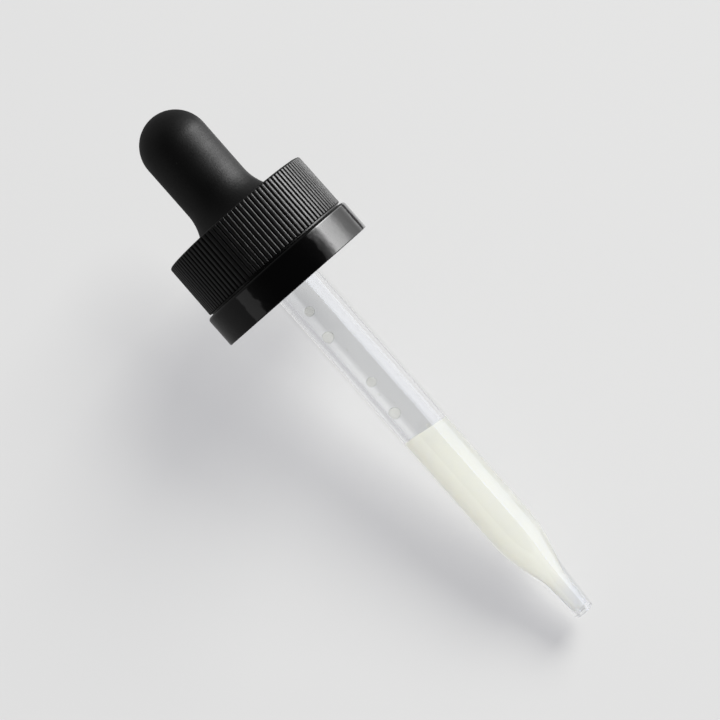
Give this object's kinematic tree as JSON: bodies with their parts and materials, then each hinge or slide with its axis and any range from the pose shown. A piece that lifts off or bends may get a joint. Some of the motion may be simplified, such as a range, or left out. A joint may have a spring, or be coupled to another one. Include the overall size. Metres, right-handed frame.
{
  "type": "medicine dropper",
  "caption": "Dropper closure with a rubber bulb, a ribbed push-and-turn overcap, a threaded inner cap and a tapered glass pipette that holds liquid.",
  "frame": {"origin": "centre of the bulb flange's underside, where the lip of the bottle's neck seals", "axes": "+Z along the common axis, from the neck towards the bulb; the pipette points along -Z"},
  "size_m": [0.0252, 0.0252, 0.0919],
  "materials": {
    "cap_plastic": "black moulding, satin on the ribs and polished on the band",
    "inner_plastic": "black moulding, plain",
    "bulb_rubber": "soft black rubber, matte with a fine bloom",
    "clear_glass": "clear drawn tube, fire-polished tip",
    "cream_liquid": "wet, milky cream liquid"
  },
  "bodies": {
    "inner_cap": {"inner_cap": "inner_plastic"},
    "spring": {"push_spring": "inner_plastic"},
    "overcap": {"overcap": "cap_plastic"},
    "bulb": {"bulb": "bulb_rubber"},
    "pipette": {"pipette": "clear_glass", "liquid_tip": "cream_liquid", "droplets": "cream_liquid"},
    "liquid": {"liquid_column": "cream_liquid"}
  },
  "joints": [
    {"name": "cap_turn", "type": "hinge", "parent": "inner_cap", "child": "spring", "pos_m": [0, 0, 0], "axis": [0, 0, 1], "continuous": true},
    {"name": "cap_push", "type": "slide", "parent": "spring", "child": "overcap", "axis": [0, 0, -1], "range_m": [0, 0.0009], "stiffness_N_per_m": 3000, "deforming": ["push_spring"]},
    {"name": "bulb_tilt", "type": "hinge", "parent": "inner_cap", "child": "bulb", "pos_m": [0, 0, 0.0021], "axis": [0, 1, 0], "range_deg": [-4, 4], "stiffness_Nm_per_rad": 0.034, "deforming": ["bulb"]},
    {"name": "pipette_turn", "type": "hinge", "parent": "bulb", "child": "pipette", "pos_m": [0, 0, 0], "axis": [0, 0, 1], "continuous": true},
    {"name": "bulb_squeeze", "type": "slide", "parent": "pipette", "child": "liquid", "axis": [0, 0, -1], "range_m": [0, 0.014], "stiffness_N_per_m": 25, "deforming": ["liquid_column", "bulb"]}
  ]
}
